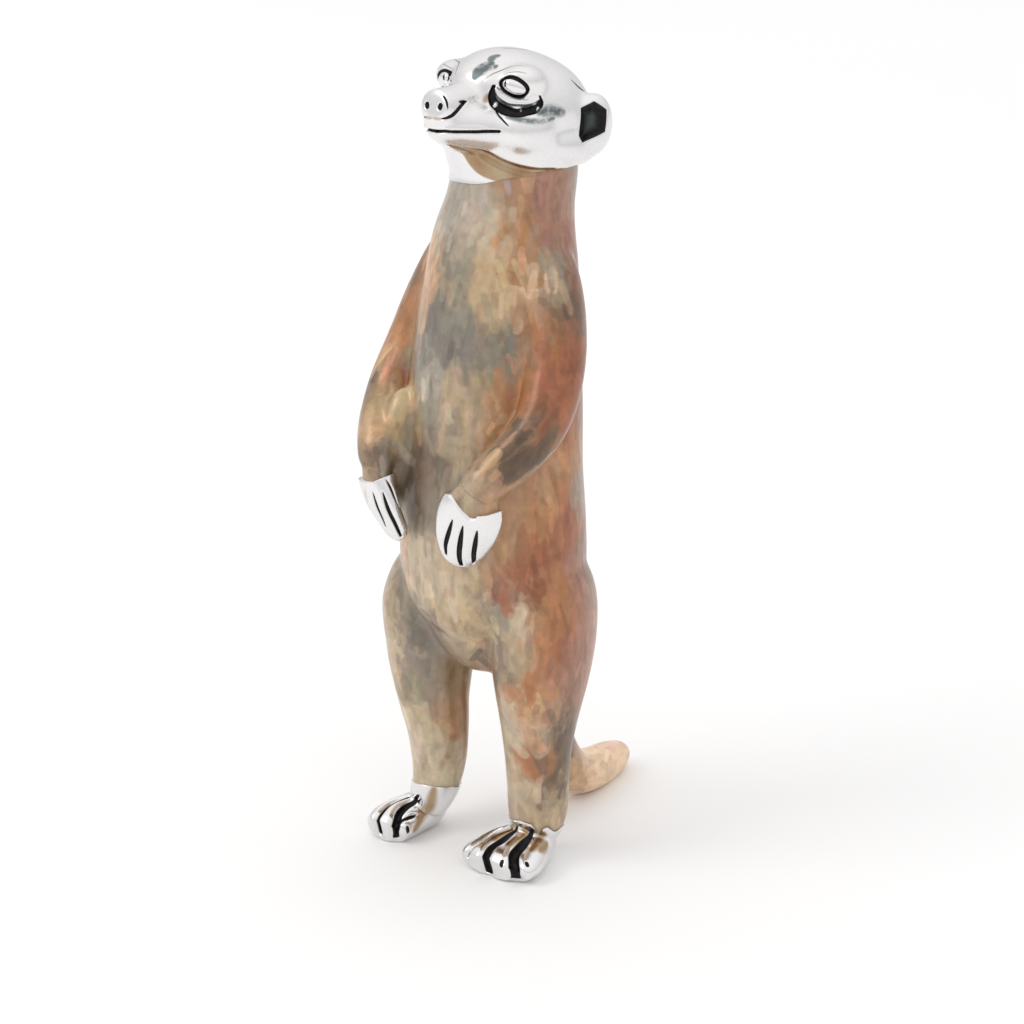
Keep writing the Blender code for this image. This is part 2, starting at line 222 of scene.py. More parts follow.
# Balls that fill out each side of the head, in its frame: centre and radii.
HEAD_BALLS = {
    "brow": ((4.0, 1.0, 0.8), (2.1, 2.2, 1.6)),
    "cheek": ((3.7, 2.2, -3.6), (2.9, 3.6, 2.6)),
    "jowl": ((4.7, 6.4, -4.6), (2.6, 3.9, 2.1)),
}
# A ball that joins the right forearm to the belly.
WEB = ((-5.6, -7.2, 42.0), (2.2, 2.8, 6.0))
LEG_TURN = 12.0         # the legs are turned outward by this much, degrees
# The way that each hand's width runs.
HAND_SIDES = {"right": (1, -0.15, -0.1), "left": (1, 0.45, 0.1)}

EAR_CENTRE = (6.5, 8.4, -2.4)
EAR_RADII = (1.5, 2.3, 3.0)
EAR_TURN = 25.0         # the ears look this far forward of sideways, degrees
EAR_DEPTH = 0.8
# Corners of the ear's six-sided hollow: toward the back, up.
EAR_HOLLOW = [(-1.9, 1.4), (-0.6, 2.15), (0.85, 1.5), (0.8, -0.55), (-1.5, -1.75), (-1.9, -1.15)]

# ------------ forms

def spline(rows, steps):
    """A Catmull-Rom curve through rows of numbers, `steps` rows to a span."""
    first = [2 * a - b for a, b in zip(rows[0], rows[1])]
    last = [2 * b - a for a, b in zip(rows[-2], rows[-1])]
    rows = [first, *rows, last]
    out = []
    for before, start, end, after in zip(rows, rows[1:], rows[2:], rows[3:]):
        for step in range(steps):
            t = step / steps
            out.append([
                0.5 * (2 * q + (r - p) * t
                       + (2 * p - 5 * q + 4 * r - s) * t ** 2
                       + (3 * q - p - 3 * r + s) * t ** 3)
                for p, q, r, s in zip(before, start, end, after)
            ])
    out.append(list(rows[-2]))
    return out


def loft(bm, rows, side=(1, 0, 0), grow=0.0, place=None, steps=8, sides=48):
    """Adds a closed tube to bm; its rings stand square to the path, their width
    runs along `side`, and `grow` is added to every radius.
    """
    rows = spline(rows, steps)
    points = [Vector(row[:3]) for row in rows]
    rings = []
    for i, row in enumerate(rows):
        along = points[min(i + 1, len(points) - 1)] - points[max(i - 1, 0)]
        along.normalize()
        wide = Vector(side)
        wide = (wide - along * wide.dot(along)).normalized()
        deep = along.cross(wide)
        ring = []
        for k in range(sides):
            angle = 2 * math.pi * k / sides
            spot = points[i] + wide * ((row[3] + grow) * math.cos(angle))
            spot += deep * ((row[4] + grow) * math.sin(angle))
            ring.append(bm.verts.new(place @ spot if place else spot))
        rings.append(ring)
    faces = [bm.faces.new(rings[0]), bm.faces.new(rings[-1])]
    for lower, upper in zip(rings, rings[1:]):
        for k in range(sides):
            following = (k + 1) % sides
            faces.append(bm.faces.new((lower[k], lower[following], upper[following], upper[k])))
    bmesh.ops.recalc_face_normals(bm, faces=faces)


def ball(bm, centre, radii, place=None, turn=None):
    """Adds an ellipsoid to bm."""
    sizes = Matrix.Diagonal(radii).to_4x4()
    matrix = (place or Matrix()) @ Matrix.Translation(centre) @ (turn or Matrix()) @ sizes
    bmesh.ops.create_uvsphere(bm, u_segments=40, v_segments=24, radius=1.0, matrix=matrix)


def add_object(name, data):
    """A new object in the scene."""
    obj = bpy.data.objects.new(name, data)
    bpy.context.scene.collection.objects.link(obj)
    return obj


def add_mesh(name, bm):
    """A new object made of all that bm holds."""
    mesh = bpy.data.meshes.new(name)
    bm.to_mesh(mesh)
    bm.free()
    return add_object(name, mesh)


def skinned(name, bm, voxel, blend):
    """One skin round all that bm holds, in millimetres, with its joints rounded."""
    obj = add_mesh(name, bm)
    remesh = obj.modifiers.new("skin", "REMESH")
    remesh.mode = "VOXEL"
    remesh.voxel_size = voxel
    smooth = obj.modifiers.new("blend", "SMOOTH")
    smooth.factor = 0.5
    smooth.iterations = round((blend / voxel) ** 2)
    bpy.context.view_layer.update()
    graph = bpy.context.evaluated_depsgraph_get()
    obj.data = bpy.data.meshes.new_from_object(obj.evaluated_get(graph))
    obj.modifiers.clear()
    obj.data.name = name
    return obj


def cut_above(obj, border):
    """Removes what lies above the height border(x, y) and closes the cut."""
    def shear(sign):
        places = read(obj, "co")
        places[:, 2] -= sign * border(places[:, 0], places[:, 1])
        obj.data.vertices.foreach_set("co", places.ravel())

    shear(1)
    bm = bmesh.new()
    bm.from_mesh(obj.data)
    cut = bmesh.ops.bisect_plane(
        bm, geom=bm.verts[:] + bm.edges[:] + bm.faces[:],
        plane_co=(0, 0, 0), plane_no=(0, 0, 1), clear_outer=True,
    )
    edges = [item for item in cut["geom_cut"] if isinstance(item, bmesh.types.BMEdge)]
    bmesh.ops.contextual_create(bm, geom=edges)
    bmesh.ops.triangulate(bm, faces=[face for face in bm.faces if len(face.verts) > 4])
    bm.to_mesh(obj.data)
    bm.free()
    shear(-1)


def read(obj, what):
    """Vertex places ("co") or normals ("normal") as an N by 3 array."""
    values = np.empty(len(obj.data.vertices) * 3, dtype=np.float32)
    obj.data.vertices.foreach_get(what, values)
    return values.reshape(-1, 3).astype(np.float64)


def write(obj, places):
    obj.data.vertices.foreach_set("co", places.astype(np.float32).ravel())
    obj.data.update()


def smoothstep(low, high, value):
    """Rises smoothly from 0 at low to 1 at high."""
    t = np.clip((value - low) / (high - low), 0, 1)
    return t * t * (3 - 2 * t)


def leg_side(turn):
    """The way a leg's width runs, turned by so many degrees."""
    angle = math.radians(turn)
    return (math.cos(angle), math.sin(angle), 0)


def head_rows(stations):
    """Stations of a form of the head as rows for loft."""
    return [
        (0, -front, (top + bottom) / 2, half, (top - bottom) / 2)
        for front, top, bottom, half in stations
    ]


def moved(places, matrix):
    """An array of places after a 4 by 4 matrix."""
    matrix = np.array(matrix)
    return places @ matrix[:3, :3].T + matrix[:3, 3]


def mirrored(points):
    """The same points on the other side of the head."""
    return [(-x, *rest) for x, *rest in points]


def to_right_eye(points):
    """The same points round the right eye, which stands a little further in."""
    return [(RIGHT_EYE[0] - x, RIGHT_EYE[1] + y, RIGHT_EYE[2] + z) for x, y, z in points]


def loop(centre, long, tall, size, count=16):
    """Points round an oval given by its two half axes."""
    centre, long, tall = Vector(centre), Vector(long), Vector(tall)
    angles = [2 * math.pi * k / count for k in range(count + 1)]
    return [tuple(centre + (long * math.cos(a) + tall * math.sin(a)) * size) for a in angles]


# ------------ carving

class Carving:
    """Grooves, ridges, stains and painted reflections worked into one silver skin.

    The points of the lines are given in the frame `place`. "oxide" and "line" hold
    how far each point lies inside the black grooves and the fine lines, in
    millimetres, so that their edges stay sharp. "tarnish" is a grey-green film and
    "brown_and_reflection" brown colour: a few small brown marks, and the painted
    reflection of the brown enamel in the silver under the jaw and on the toes.
    """

    def __init__(self, obj, place=None):
        self.obj = obj
        self.place = place or Matrix()
        self.places = read(obj, "co")
        self.normals = read(obj, "normal")
        count = len(self.places)
        self.offset = np.zeros(count)
        bare = {"oxide": -1.0, "line": -1.0, "tarnish": 0.0, "brown_and_reflection": 0.0}
        self.films_and_reflections = {name: np.full(count, value) for name, value in bare.items()}
        polygons = [polygon.vertices[:] for polygon in obj.data.polygons]
        self.tree = BVHTree.FromPolygons([Vector(co) for co in self.places], polygons)

    def local(self):
        """Vertex places in the frame of the lines."""
        return moved(self.places, self.place.inverted())

    def snap(self, points):
        """The nearest places on the skin."""
        return np.array([self.tree.find_nearest(Vector(point))[0][:] for point in points])

    def on_surface(self, points):
        """The points, drawn as a curve and laid on the skin in close steps."""
        curve = spline([list(point) for point in points], 8) if len(points) > 1 else points
        line = self.snap([self.place @ Vector(point) for point in curve])
        if len(line) == 1:
            return line
        run = np.insert(np.cumsum(np.linalg.norm(np.diff(line, axis=0), axis=1)), 0, 0)
        even = np.linspace(0, run[-1], max(2, round(run[-1] / LINE_STEP)))
        return self.snap(np.stack([np.interp(even, run, axis) for axis in line.T], axis=1))

    def along(self, points, width, ends, room=0.6):
        """The points of the skin near a line, how far inside its edge each lies, the
        half width there and the way along, 0 to 1. `ends` are the shares of the
        width left at the line's two ends.
        """
        line = self.on_surface(points)
        t = np.linspace(0, 1, len(line)) if len(line) > 1 else np.array([0.5])
        first, last = ends
        shape = 1 - (1 - first) * (1 - np.minimum(2 * t, 1)) ** 2.5
        shape -= (1 - last) * (1 - np.minimum(2 - 2 * t, 1)) ** 2.5
        half = width / 2 * shape
        low = line.min(0) - width / 2 - room
        high = line.max(0) + width / 2 + room
        near = np.flatnonzero(np.all((self.places > low) & (self.places < high), axis=1))
        gaps = np.linalg.norm(self.places[near][:, None, :] - line[None, :, :], axis=2)
        inside = half[None, :] - gaps
        best = inside.argmax(axis=1)
        return near, inside[np.arange(len(near)), best], half[best], t[best]

    def groove(self, points, width, depth, ends, film="oxide", start=1.0):
        """A black groove; `start` is the share of its depth at its first end."""
        near, inside, half, t = self.along(points, width, ends)
        wall = np.maximum(half * 0.7, 0.12)
        deep = depth * (start + (1 - start) * smoothstep(0, 0.4, t))
        self.offset[near] -= deep * smoothstep(-0.06, 1, (inside + 0.04) / wall)
        self.films_and_reflections[film][near] = np.maximum(self.films_and_reflections[film][near], inside)

    def ridge(self, points, width, height, ends=(0.4, 0.4), start=1.0):
        """A round ridge, or a valley where the height is below 0."""
        near, inside, half, t = self.along(points, width, ends)
        tall = height * (start + (1 - start) * smoothstep(0, 0.4, t))
        self.offset[near] += tall * smoothstep(0, 0.9, inside / half)

    def clean(self, points, width, ends=(0.5, 0.5)):
        """Polishes the blackening off along a line."""
        near, inside, _, _ = self.along(points, width, ends)
        self.films_and_reflections["oxide"][near] = np.minimum(self.films_and_reflections["oxide"][near], -inside)

    def stain_and_reflection(self, points, width, amount, ends=(0.6, 0.6), film="tarnish", soft=0.8):
        """A film, or a painted reflection, whose edge fades over the share `soft` of its half width."""
        near, inside, half, _ = self.along(points, width, ends)
        cover = amount * smoothstep(0, soft, inside / half)
        self.films_and_reflections[film][near] = np.maximum(self.films_and_reflections[film][near], cover)

    def done(self):
        """Presses the carving into the skin and stores its layers, painted reflections among them."""
        write(self.obj, self.places + self.normals * self.offset[:, None])
        for name, values in self.films_and_reflections.items():
            layer = self.obj.data.attributes.new(name, "FLOAT", "POINT")
            layer.data.foreach_set("value", values.astype(np.float32))


# ------------ head

NOSE_FRONT = 5.95       # the snout is pressed flat from here on
NOSE_PRESS = 0.6        # by this share of what stands out
COLLAR = (67.7, 0.17)   # height of the silver's lower edge, and its rise toward +X
COLLAR_WAVE = 0.12      # how far that edge wavers
# The carved left eye: its middle, its two half axes and how far its dome stands.
EYE_SPOT = (4.55, -0.75, 0.15)
EYE_LONG = (0.85, 0.62, -0.28)
EYE_TALL = (0.11, -0.27, 0.62)
EYE_DOME = 0.5
EYE_SINK = 0.14         # the dome's middle lies this deep
RING_SPOT = (4.57, -0.8, 0.27)
RING_SIZE = 1.25        # the ring's size over the eye's
RIGHT_EYE = (0.6, -0.2, 0.1)    # how far the right eye is off the left one's mirror image
# Under the left jaw: its edge, and the lower edge of the painted brown reflection there.
JAW = [
    (0.6, -4.3, -5.5), (1.6, -3.1, -5.6), (2.6, -1.2, -5.7), (3.6, 0, -6.3),
    (4.6, 1.4, -6.8), (5.3, 2.8, -7.0), (5.8, 4.3, -6.9), (5.9, 6.0, -6.8),
]
THROAT = [
    (0.4, -3.9, -5.7), (-0.1, -1.1, -6.8), (1.1, -0.4, -8.0), (2.7, 0.4, -8.3),
    (4.4, 1.8, -8.0), (5.5, 3.6, -7.4), (5.9, 6.0, -7.0),
]


def make_head():
    """The silver head, its collar and its ears, carved all over."""
    bm = bmesh.new()
    for stations in (SKULL, BRIDGE, MUZZLE):
        loft(bm, head_rows(stations), place=HEAD_PLACE)
    loft(bm, [row for row in TRUNK if row[2] > 60], grow=LIP)
    for side in (-1, 1):
        for (x, y, z), radii in HEAD_BALLS.values():
            ball(bm, (side * x, y, z), radii, HEAD_PLACE)
        ball(bm, (side * EAR_CENTRE[0], *EAR_CENTRE[1:]), EAR_RADII, HEAD_PLACE)
    head = skinned("head_silver", bm, HEAD_VOXEL, HEAD_BLEND)
    flip(head)
    cut_above(head, lambda x, y: -collar(x, -y))
    flip(head)
    shape_nose(head)

    work = Carving(head, HEAD_PLACE)
    carve_snout(work)
    for turn in (list, to_right_eye):
        carve_eye(work, turn)
        carve_brow(work, turn)
    carve_ears(work)
    tarnish_and_jaw_reflection(work)
    work.done()
    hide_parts("head", "ear_left", "ear_right")
    return head


def flip(obj):
    """Turns a skin upside down, for a cut from below; twice puts it back."""
    obj.data.transform(Matrix.Rotation(math.pi, 4, "X"))
    obj.data.update()


def shape_nose(head):
    """Presses the front of the snout into a flat nose pad."""
    local = moved(read(head, "co"), HEAD_PLACE.inverted())
    front = -local[:, 1]
    press = NOSE_PRESS * smoothstep(-4.4, -3.4, local[:, 2])
    local[:, 1] += press * np.maximum(front - NOSE_FRONT, 0)
    write(head, moved(local, HEAD_PLACE))


def carve_snout(work):
    """The nose pad with its nostrils, the groove under it and the mouth."""
    mouth = [
        (0, -5.8, -4.5), (1.2, -5.5, -4.4), (2.4, -4.4, -4.3), (3.2, -3.0, -4.1), (4.0, -1.5, -3.9),
    ]
    pad = [
        (1.9, -4.0, -1.5), (1.9, -4.6, -2.0), (1.85, -5.2, -2.6), (1.7, -5.6, -3.0), (0.9, -6.1, -3.35),
    ]
    for turn in (list, mirrored):
        work.groove(turn(mouth), 0.32, 0.28, (1, 0.9))
        work.groove(turn(pad), 0.34, 0.2, (0.7, 0.2))
        work.groove(turn([(1.8, -4.7, -1.6), (1.9, -3.8, -1.45)]), 0.3, 0.1, (0.5, 0.4))
        work.groove(turn([(0.83, -6.3, -2.15), (0.8, -6.3, -2.27)]), 0.56, 0.3, (1, 1))
        work.stain_and_reflection(turn([(0.1, -6.2, -3.3), (0.9, -6.1, -3.3)]), 0.5, 0.7, film="brown_and_reflection")
        work.ridge(turn([(1.2, -5.4, -4.0), (2.4, -4.3, -3.9), (3.4, -2.6, -3.7)]), 0.8, 0.07)
    work.groove([(1.1, -6.3, -1.2), (1.5, -6.2, -1.7), (1.65, -6.0, -2.4)], 0.22, 0.12, (0.8, 0.2))


def carve_eye(work, turn):
    """The ring, the lower lid and the black lines and stains round one eye.

    `turn` takes the points given for the left eye to the eye that is carved.
    """
    under = [
        (2.9, -1.7, 0.05), (2.75, -1.65, -0.9), (3.15, -1.25, -1.6), (4.0, -0.75, -2.0),
        (4.9, -0.3, -2.05), (5.35, 0.5, -1.8), (5.7, 1.3, -1.5), (5.8, 1.7, -1.0), (5.7, 1.6, -0.5),
    ]
    lid = [
        (3.05, -1.5, -0.1), (3.45, -1.2, -0.65), (4.1, -0.6, -1.05), (4.8, 0.1, -1.1),
        (5.3, 0.8, -0.9), (5.6, 1.3, -0.6),
    ]
    bead = [(3.05, -1.35, -1.5)]
    crease = [(3.2, -1.4, -1.9), (3.6, -1.4, -2.4), (4.1, -1.2, -2.9), (4.7, -1.0, -3.4)]
    cheek = [(4.2, -0.8, -2.65), (5.3, -0.1, -2.75), (6.1, 1.2, -2.65), (6.4, 3.0, -2.2)]
    work.groove(turn(under), 0.95, 0.36, (0.45, 0.4))
    work.ridge(turn(lid), 1.15, 0.36, (0.5, 0.6))
    work.clean(turn(lid), 0.95, (0.4, 0.6))
    work.groove(turn(loop(RING_SPOT, EYE_LONG, EYE_TALL, RING_SIZE)), 0.48, 0.36, (1, 1))
    work.clean(turn(bead), 0.42)
    work.ridge(turn(bead), 0.7, 0.25)
    work.clean(turn([(5.75, 1.6, -1.4), (5.7, 1.7, -2.0)]), 0.36, (0.6, 0.9))
    work.clean(turn([(5.0, 0.0, -1.65)]), 0.2)
    work.groove(turn(crease), 0.2, 0.08, (1, 0.3))
    work.stain_and_reflection(turn([(2.3, -2.0, -1.3), (2.6, -1.8, -0.7)]), 1.0, 0.8, film="brown_and_reflection")
    work.stain_and_reflection(turn([(5.8, 1.6, -2.0), (6.2, 2.5, -1.6), (6.6, 3.9, -1.6)]), 1.7, 1.0)
    work.stain_and_reflection(turn(cheek), 0.9, 0.9)


def carve_brow(work, turn):
    """Fine engraved lines over one eye and in front of the ear."""
    brow = [(2.0, -2.1, 0.5), (2.6, -1.4, 1.4), (3.4, -0.3, 2.0), (4.7, 0.5, 2.2)]
    work.groove(turn(brow), 0.13, 0.05, (0.3, 0.5), "line")
    above = [(3.4, -1.0, 1.3), (4.6, -0.7, 1.6), (5.6, 0.0, 1.5)]
    work.groove(turn(above), 0.1, 0.04, (0.3, 0.3), "line")
    work.groove(turn([(5.4, 6.0, 1.4), (5.7, 6.7, 0.9), (5.8, 7.6, 0.5)]), 0.28, 0.14, (0.5, 0.4))


def ear_frame(local, side):
    """Distance outward from each ear, and the place in its plane, back and up."""
    turn = math.radians(EAR_TURN)
    gap = local - np.array([side * EAR_CENTRE[0], *EAR_CENTRE[1:]])
    out = side * gap[:, 0] * math.cos(turn) - gap[:, 1] * math.sin(turn)
    back = side * gap[:, 0] * math.sin(turn) + gap[:, 1] * math.cos(turn)
    return out, back, gap[:, 2]


def carve_ears(work):
    """Sinks a six-sided hollow with a black border and a greenish floor in each ear."""
    local = work.local()
    for side in (-1, 1):
        out, back, up = ear_frame(local, side)
        outside = np.full(len(local), -9.0)
        for (a, b), (c, d) in zip(EAR_HOLLOW, EAR_HOLLOW[1:] + EAR_HOLLOW[:1]):
            length = math.hypot(c - a, d - b)
            np.maximum(outside, ((back - a) * (b - d) + (up - b) * (c - a)) / length, out=outside)
        outside = np.where(out > 0.2, outside, 9.0)
        work.offset -= EAR_DEPTH * (1 - smoothstep(-0.6, 0.1, outside))
        work.films_and_reflections["oxide"] = np.maximum(work.films_and_reflections["oxide"], -outside)
        floor = 1 - smoothstep(-1.1, -0.3, outside)
        work.films_and_reflections["tarnish"] = np.maximum(work.films_and_reflections["tarnish"], floor)


def tarnish_and_jaw_reflection(work):
    """The grey-green tarnish on the forehead, and the painted brown reflection of the neck's enamel under
    the jaw.
    """
    work.stain_and_reflection([(1.1, -2.5, 0.9), (1.35, -1.9, 1.7), (1.7, -1.1, 2.3)], 1.7, 1.0, soft=0.5)
    work.stain_and_reflection([(1.5, -0.9, 2.4), (1.25, -0.4, 2.8), (1.5, 0.1, 3.0)], 1.0, 0.9, soft=0.5)
    work.stain_and_reflection([(2.1, -1.4, 1.7), (2.3, -0.9, 2.1)], 0.7, 0.9, soft=0.5)
    work.stain_and_reflection([(0.7, 1.6, 3.7), (1.7, 3.7, 3.8)], 0.5, 0.5)
    edge = np.array(spline(JAW, 4))
    lower = np.array(spline(THROAT, 5))
    lower = lower[np.linspace(0, len(lower) - 1, len(edge)).round().astype(int)]
    work.ridge((edge * 0.8 + lower * 0.2).tolist(), 1.3, -0.3, (0.3, 0.3))
    # Bands of brown from the jaw's edge toward the throat line: a painted reflection of the neck's brown
    # enamel in the silver.
    for share in (0.14, 0.36, 0.58, 0.8):
        line = (edge * (1 - share) + lower * share)[::4].tolist()
        work.stain_and_reflection(line, 0.95, 1.0, (0.3, 0.6), film="brown_and_reflection", soft=0.35)


EYE_PLACES = {
    "left": HEAD_PLACE,
    "right": HEAD_PLACE @ (Matrix.Translation(RIGHT_EYE) @ Matrix.Diagonal((-1, 1, 1, 1))),
}


def make_eye(side, place):
    """A silver dome, longer than high, with a small black mark for a pupil."""
    long = Vector(EYE_LONG)
    tall = Vector(EYE_TALL)
    out = long.cross(tall).normalized()
    centre = Vector(EYE_SPOT) - out * EYE_SINK
    radii = (long.length * 1.02, tall.length * 0.98, EYE_DOME)
    axes = Matrix((long.normalized(), out.cross(long.normalized()), out)).transposed().to_4x4()
    bm = bmesh.new()
    ball(bm, centre, radii, place, axes)
    eye = skinned(f"eye_{side}_silver", bm, EYE_VOXEL, EYE_VOXEL)
    work = Carving(eye, place)
    work.groove([(4.0, -1.35, 0.6), (3.98, -1.2, 0.25)], 0.24, 0.05, (0.8, 0.8))
    work.done()
    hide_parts(f"eye_{side}")
    return eye


# ------------ hands and feet

# Height of each glove's upper edge across the hand: x, z.
GLOVE_EDGE = {
    "left": [
        (3.6, 40.5), (4.0, 40.2), (4.4, 39.8), (5.1, 39.0), (5.75, 38.45),
        (6.1, 38.5), (6.4, 38.9), (7.1, 39.0), (8.0, 39.3),
    ],
    "right": [(-8.0, 39.6), (-6.6, 39.7), (-5.5, 39.9), (-4.6, 40.4), (-4.0, 40.7), (-3.0, 40.8)],
}
FINGER_LINES = {
    "left": [
        ([(4.15, -12.3, 38.3), (3.7, -12.3, 36.9), (3.2, -12.1, 35.6), (3.0, -11.8, 34.6)], 0.46),
        ([(5.15, -12.0, 37.8), (4.8, -11.9, 36.3), (4.4, -11.6, 34.7), (4.1, -10.9, 33.4)], 0.52),
        ([(6.3, -11.3, 37.4), (6.0, -11.2, 36.0), (5.6, -10.9, 34.8), (5.2, -10.3, 33.6)], 0.48),
    ],
    "right": [
        ([(-6.4, -12.2, 39.1), (-6.2, -11.7, 36.9), (-5.2, -11.4, 35.5), (-4.0, -11.3, 34.5)], 0.3),
        ([(-5.3, -12.4, 39.0), (-4.9, -12.3, 37.7), (-4.5, -12.1, 36.6), (-4.3, -11.8, 35.7)], 0.36),
        ([(-4.2, -12.2, 39.2), (-3.6, -12.2, 37.6), (-3.1, -11.7, 36.1), (-2.9, -11.2, 34.9)], 0.42),
        ([(-4.1, -11.8, 40.4), (-3.5, -11.6, 39.4), (-3.2, -11.4, 38.4), (-3.1, -11.1, 37.6)], 0.24),
    ],
}


def make_hand(side, hand_rows, arm_rows):
    """A silver hand over the end of the enamel arm, with its fingers engraved."""
    bm = bmesh.new()
    loft(bm, hand_rows, HAND_SIDES[side])
    loft(bm, arm_rows[-3:], grow=LIP)
    hand = skinned(f"hand_{side}_silver", bm, HAND_VOXEL, HAND_BLEND)
    across, heights = zip(*GLOVE_EDGE[side])
    cut_above(hand, lambda x, y: np.interp(x, across, heights))
    work = Carving(hand)
    for points, width in FINGER_LINES[side]:
        work.ridge(points, width * 2.6, -0.1, (0.3, 0.5))
        work.groove(points, width, 0.24, (0.2, 0.7), start=0.5)
    work.done()
    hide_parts(f"hand_{side}")
    return hand


# Each foot: the loft and the leg over it, the ankle's middle, the height of the
# silver's upper edge round it (degrees outward from the front, height), the
# grooves between the toes and the shorter nicks with their widths, the claw marks
# and the lines of painted brown reflection on the tops of the toes.
FEET = {
    "left": {
        "rows": FOOT_LEFT,
        "leg": LEG_LEFT,
        "ankle": (5.3, -1.1),
        "edge": [
            (0, 5.0), (29, 4.9), (37, 4.5), (43, 3.3), (48, 3.6), (54, 4.4), (62, 4.6),
            (75, 4.0), (86, 3.7), (105, 4.0), (130, 3.7), (180, 4.1), (270, 4.3), (330, 4.6),
        ],
        "grooves": [
            ([(3.2, -2.9, 3.9), (2.3, -4.1, 3.3), (2, -5.9, 2.8), (1.8, -6.9, 2.3), (1.5, -7.4, 1.2)], 0.36),
            ([(4.8, -3.4, 4.1), (4.3, -4.8, 3.5), (3.9, -6.1, 3.1), (4, -7.2, 2.5), (4.2, -7.5, 0.5)], 0.92),
            ([
                (6.6, -3.2, 4.0), (6.5, -4.7, 3.4), (6.6, -6, 3),
                (7.2, -7, 2.3), (7.5, -7.3, 1.4), (7.6, -7.3, 0.5),
            ], 1.15),
        ],
        "nicks": [],
        "claws": [(6.1, -7.4, 2.2), (8.2, -6.2, 2.2)],
        "films_and_reflections": [
            [(4.4, -3.6, 4.2), (3.4, -5.2, 3.4)],
            [(6.0, -3.6, 4.2), (5.4, -5.4, 3.3)],
            [(7.6, -2.8, 3.7), (7.7, -4.6, 3.2)],
            [(8.2, -2.4, 3.2), (8.3, -3.9, 3.0)],
        ],
    },
    "right": {
        "rows": FOOT_RIGHT,
        "leg": LEG_RIGHT,
        "ankle": (-6.4, -1.6),
        "edge": [(0, 5.7), (40, 5.4), (90, 4.8), (180, 4.6), (270, 5.2), (320, 5.7)],
        "grooves": [
            ([
                (-8.2, -3.6, 4.6), (-9, -4.6, 4), (-9.5, -5.8, 3.5), (-9.5, -7.2, 2.9), (-9.4, -7.8, 0.6),
            ], 0.5),
            ([
                (-6.9, -4.1, 4.3), (-7.6, -4.8, 3.7), (-7.7, -6, 3.3),
                (-7.3, -7.2, 2.5), (-7.2, -7.6, 1.5), (-7.2, -7.6, 0.5),
            ], 0.88),
        ],
        "nicks": [([(-6.35, -5.0, 2.8), (-6.7, -6.0, 2.8), (-7.1, -6.8, 2.7)], 0.38)],
        "claws": [(-6.3, -6.6, 1.8)],
        "films_and_reflections": [[(-5.3, -3.7, 5.4), (-5.8, -3.8, 3.4), (-6.2, -4.5, 2.5), (-6.1, -5.7, 1.4)]],
    },
}


def foot_border(side):
    """The height of the silver's upper edge on one foot, at x and y."""
    form = FEET[side]
    sign = 1 if side == "left" else -1
    angles, heights = zip(*form["edge"])
    centre_x, centre_y = form["ankle"]

    def border(x, y):
        around = np.degrees(np.arctan2(sign * (x - centre_x), -(y - centre_y)))
        return np.interp(around, angles, heights, period=360)

    return border


def make_foot(side, form):
    """A silver foot over the end of the enamel leg, its toes parted by deep grooves."""
    bm = bmesh.new()
    loft(bm, form["rows"], grow=-LIP)
    loft(bm, form["leg"][-4:], grow=LIP)
    foot = skinned(f"foot_{side}_silver", bm, FOOT_VOXEL, FOOT_BLEND)
    cut_above(foot, foot_border(side))
    work = Carving(foot)
    for points, width in form["grooves"]:
        work.ridge(points, width * 1.3 + 0.8, -0.38, (0.3, 1), start=0.1)
        work.groove(points, width, 0.4, (0.25, 1), start=0.15)
    for points, width in form["nicks"]:
        work.ridge(points, width * 3.2, -0.25, (0.4, 1))
        work.groove(points, width, 0.15, (0.3, 0.8))
    for x, y, z in form["claws"]:
        work.groove([(x, y, z + 0.15), (x, y, z - 0.3)], 0.42, 0.1, (0.9, 0.9))
    # Painted reflection of the brown enamel on the tops of the toes.
    for points in form["films_and_reflections"]:
        work.stain_and_reflection(points, 1.8, 1.0, film="brown_and_reflection")
    work.done()
    places = read(foot, "co")
    places[:, 2] = np.maximum(places[:, 2], 0)
    write(foot, places)
    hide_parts(f"foot_{side}")
    return foot


# ------------ enamel

PALETTE = {
    "mist": (0.45, 0.41, 0.34),
    "grey": (0.31, 0.265, 0.205),
    "slate": (0.23, 0.205, 0.17),
    "dusk": (0.17, 0.125, 0.09),
    "umber": (0.12, 0.08, 0.055),
    "cream": (0.58, 0.47, 0.345),
    "straw": (0.58, 0.43, 0.26),
    "sand": (0.45, 0.345, 0.235),
    "olive": (0.38, 0.275, 0.155),
    "tan": (0.43, 0.26, 0.155),
    "apricot": (0.56, 0.355, 0.215),
    "orange": (0.45, 0.215, 0.105),
    "rust": (0.33, 0.13, 0.07),
    "mauve": (0.38, 0.21, 0.15),
    "peach_and_highlight": (0.84, 0.61, 0.42),
}

